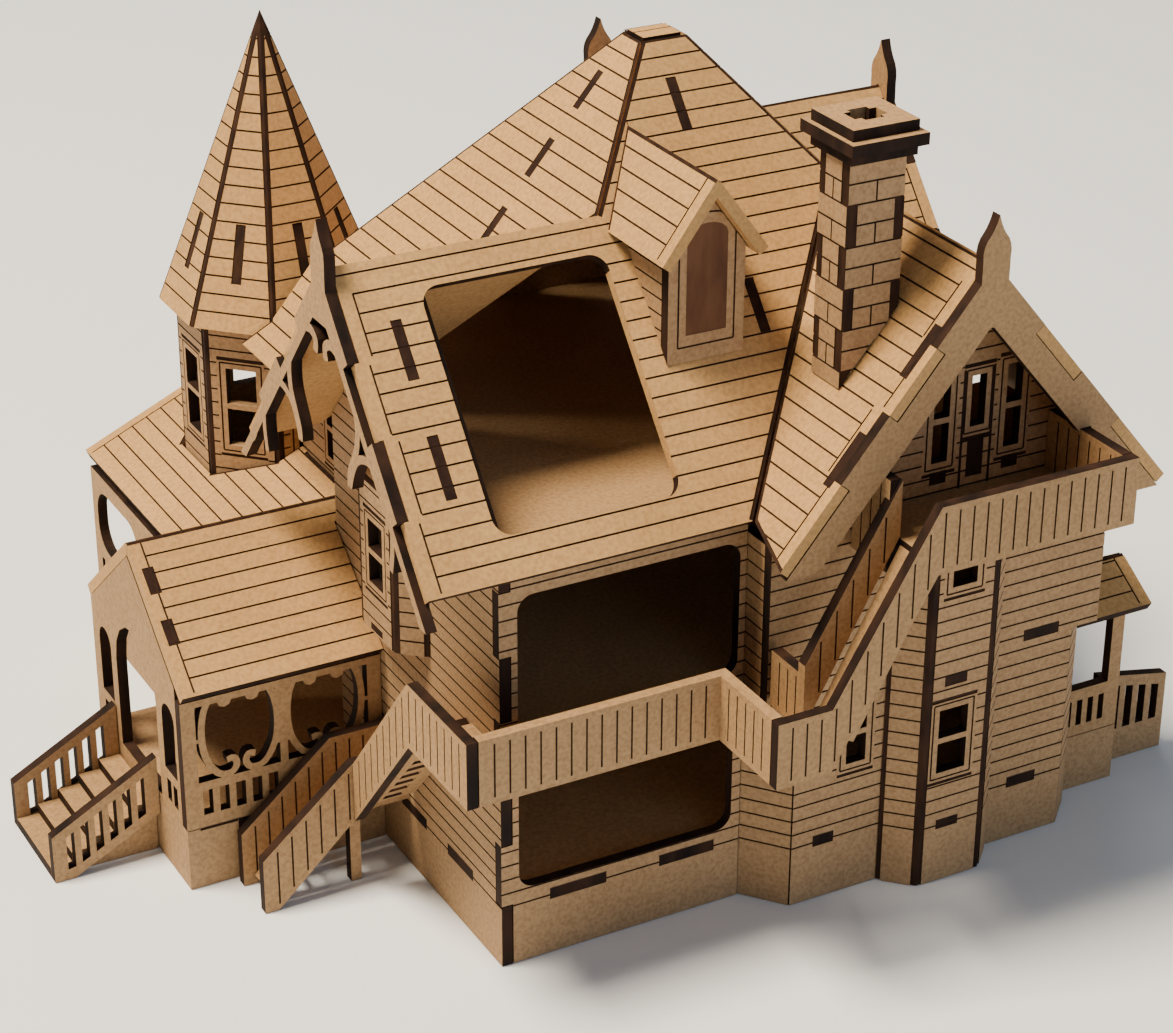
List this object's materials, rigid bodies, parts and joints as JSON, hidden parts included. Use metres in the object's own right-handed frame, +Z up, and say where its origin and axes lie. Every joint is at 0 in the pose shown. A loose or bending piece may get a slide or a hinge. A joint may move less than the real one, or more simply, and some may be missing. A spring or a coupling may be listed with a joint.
{
  "type": "miniature house terrain kit",
  "caption": "Miniature two-storey gabled house with tower, porches, outside stairs and openings for play, built from flat laser-cut fibreboard sheets.",
  "frame": {"origin": "centre of the footprint's bounding box, on the surface that the house stands on", "axes": "+X to the viewer's right along the front wall, +Y to the back, +Z up"},
  "size_m": [0.305, 0.2648, 0.2121],
  "materials": {
    "wall_board": "matte laser-cut fibreboard with burnt edges",
    "roof_board": "matte laser-cut fibreboard with burnt edges",
    "trim_board": "matte laser-cut fibreboard with burnt edges"
  },
  "bodies": {
    "root": {"attic_floor": "trim_board", "bay_walls": "wall_board", "chimney_cap": "trim_board", "chimney_shaft": "wall_board", "dormer_cheek_left": "wall_board", "dormer_cheek_right": "wall_board", "dormer_front": "wall_board", "dormer_roof": "roof_board", "east_bargeboard": "trim_board", "east_gable_wall": "wall_board", "east_porch_base": "wall_board", "east_porch_rail": "trim_board", "east_porch_roof": "roof_board", "first_floor": "trim_board", "ground_floor": "trim_board", "lean_to_arcade": "trim_board", "lean_to_roof": "roof_board", "lower_stair": "trim_board", "lower_stair_back_rail": "trim_board", "lower_stair_rail": "trim_board", "north_bargeboard": "trim_board", "north_gable_wall": "wall_board", "oriel_walls": "wall_board", "porch_base": "wall_board", "porch_front": "trim_board", "porch_roof_north": "roof_board", "porch_roof_south": "roof_board", "porch_side_arcade": "trim_board", "porch_step_side_far": "trim_board", "porch_step_side_near": "trim_board", "porch_steps": "trim_board", "rear_west_wall": "wall_board", "roof_block_north": "roof_board", "roof_east": "roof_board", "roof_east_gable": "roof_board", "roof_north": "roof_board", "roof_north_gable": "roof_board", "roof_south": "roof_board", "roof_west": "roof_board", "roof_wing_west": "roof_board", "south_wall": "wall_board", "tower_roof": "roof_board", "tower_walls": "wall_board", "upper_balcony_floor": "trim_board", "upper_side_rail": "trim_board", "upper_stair_inner_rail": "trim_board", "upper_stair_rail": "trim_board", "upper_stair_treads": "trim_board", "walkway_floor": "trim_board", "walkway_rail": "trim_board", "west_bargeboard": "trim_board", "west_gable_wall": "wall_board", "west_stair_rail": "trim_board", "west_stair_treads": "trim_board", "wing_bargeboard": "trim_board", "wing_corner_left": "wall_board", "wing_corner_right": "wall_board", "wing_east_wall": "wall_board", "wing_front_wall": "wall_board", "wing_return_wall": "wall_board"}
  },
  "joints": []
}
